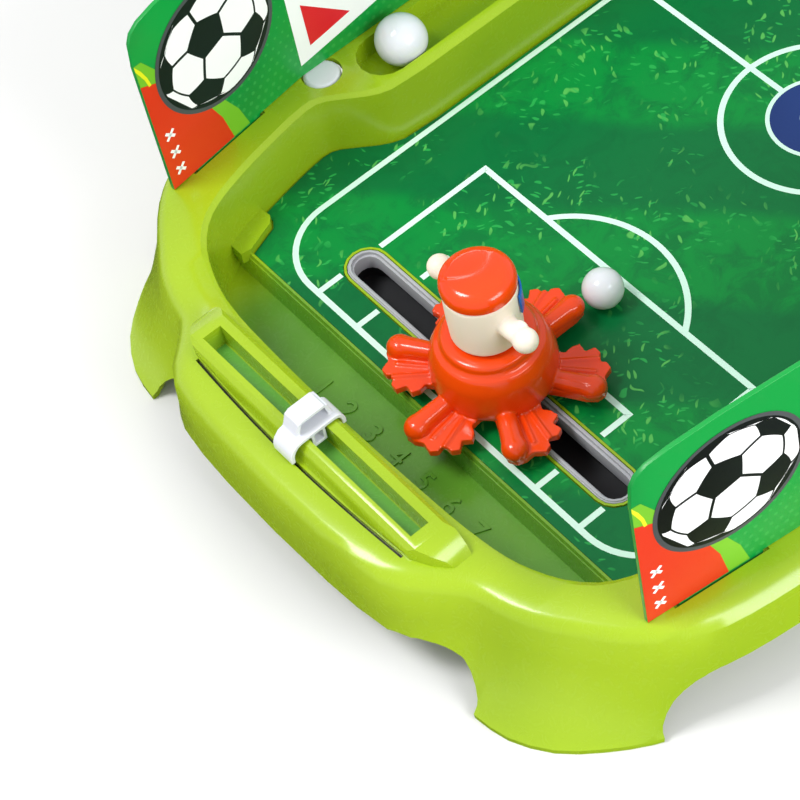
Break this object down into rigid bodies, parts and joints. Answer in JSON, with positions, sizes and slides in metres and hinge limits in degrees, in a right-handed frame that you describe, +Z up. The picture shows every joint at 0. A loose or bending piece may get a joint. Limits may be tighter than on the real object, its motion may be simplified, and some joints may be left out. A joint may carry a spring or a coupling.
{
  "type": "tabletop football game",
  "caption": "Lime green tabletop football tray on corner legs, with printed pitch, sliding spinning players, goal troughs, score rails with clips, side boards and balls.",
  "frame": {"origin": "centre of the tray, on the surface that the legs stand on", "axes": "+Z up; +X runs from the orange player's goal to the blue player's goal, along the longest side; +Y across the pitch, towards the far side board"},
  "size_m": [0.5032, 0.3006, 0.1305],
  "materials": {
    "lime_plastic": "glossy moulded lime green",
    "pitch_print": "printed film, satin",
    "grey_plastic": "satin light grey",
    "black_plastic": "satin black",
    "screw_steel": "zinc-plated steel",
    "orange_plastic": "glossy orange",
    "blue_plastic": "glossy blue",
    "cream_plastic": "satin cream",
    "visor_plastic": "printed blue",
    "white_plastic": "glossy white",
    "board_print": "printed sheet, satin"
  },
  "bodies": {
    "tray": {"tray": "lime_plastic", "pitch_sheet": "pitch_print", "slot_bezel_orange": "grey_plastic", "slot_channel_orange": "black_plastic", "channel_screw_orange_left": "screw_steel", "channel_screw_orange_right": "screw_steel", "slot_bezel_blue": "grey_plastic", "slot_channel_blue": "black_plastic", "channel_screw_blue_left": "screw_steel", "channel_screw_blue_right": "screw_steel", "side_board_far": "board_print", "board_plug_far_left": "white_plastic", "board_plug_far_right": "white_plastic", "side_board_near": "board_print", "board_plug_near_left": "white_plastic", "board_plug_near_right": "white_plastic"},
    "carriage_orange": {"carriage_orange": "black_plastic"},
    "player_orange": {"spinner_orange": "orange_plastic", "pivot_screw_orange": "screw_steel", "head_orange": "cream_plastic", "cap_orange": "orange_plastic", "visor_orange": "visor_plastic"},
    "score_clip_orange": {"score_clip_orange": "white_plastic"},
    "carriage_blue": {"carriage_blue": "black_plastic"},
    "player_blue": {"spinner_blue": "blue_plastic", "pivot_screw_blue": "screw_steel", "head_blue": "cream_plastic", "cap_blue": "blue_plastic", "visor_blue": "visor_plastic"},
    "score_clip_blue": {"score_clip_blue": "white_plastic"},
    "spare_ball_far": {"spare_ball_far": "white_plastic"},
    "spare_ball_near": {"spare_ball_near": "white_plastic"},
    "match_ball": {"match_ball": "white_plastic"}
  },
  "joints": [
    {"name": "player_slide_orange", "type": "slide", "parent": "tray", "child": "carriage_orange", "axis": [0, 1, 0], "range_m": [-0.051, 0.063]},
    {"name": "player_spin_orange", "type": "hinge", "parent": "carriage_orange", "child": "player_orange", "pos_m": [-0.158, -0.006, 0.03], "axis": [0, 0, 1], "continuous": true},
    {"name": "score_slide_orange", "type": "slide", "parent": "tray", "child": "score_clip_orange", "axis": [0, 1, 0], "range_m": [-0.0465, 0.0435]},
    {"name": "player_slide_blue", "type": "slide", "parent": "tray", "child": "carriage_blue", "axis": [0, 1, 0], "range_m": [-0.063, 0.051]},
    {"name": "player_spin_blue", "type": "hinge", "parent": "carriage_blue", "child": "player_blue", "pos_m": [0.158, 0.006, 0.03], "axis": [0, 0, 1], "continuous": true},
    {"name": "score_slide_blue", "type": "slide", "parent": "tray", "child": "score_clip_blue", "axis": [0, 1, 0], "range_m": [-0.0435, 0.0465]},
    {"name": "spare_ball_far_lift", "type": "slide", "parent": "tray", "child": "spare_ball_far", "axis": [0, 0, 1], "range_m": [0, 0.04]},
    {"name": "spare_ball_near_lift", "type": "slide", "parent": "tray", "child": "spare_ball_near", "axis": [0, 0, 1], "range_m": [0, 0.04]},
    {"name": "match_ball_lift", "type": "slide", "parent": "tray", "child": "match_ball", "axis": [0, 0, 1], "range_m": [0, 0.04]}
  ]
}
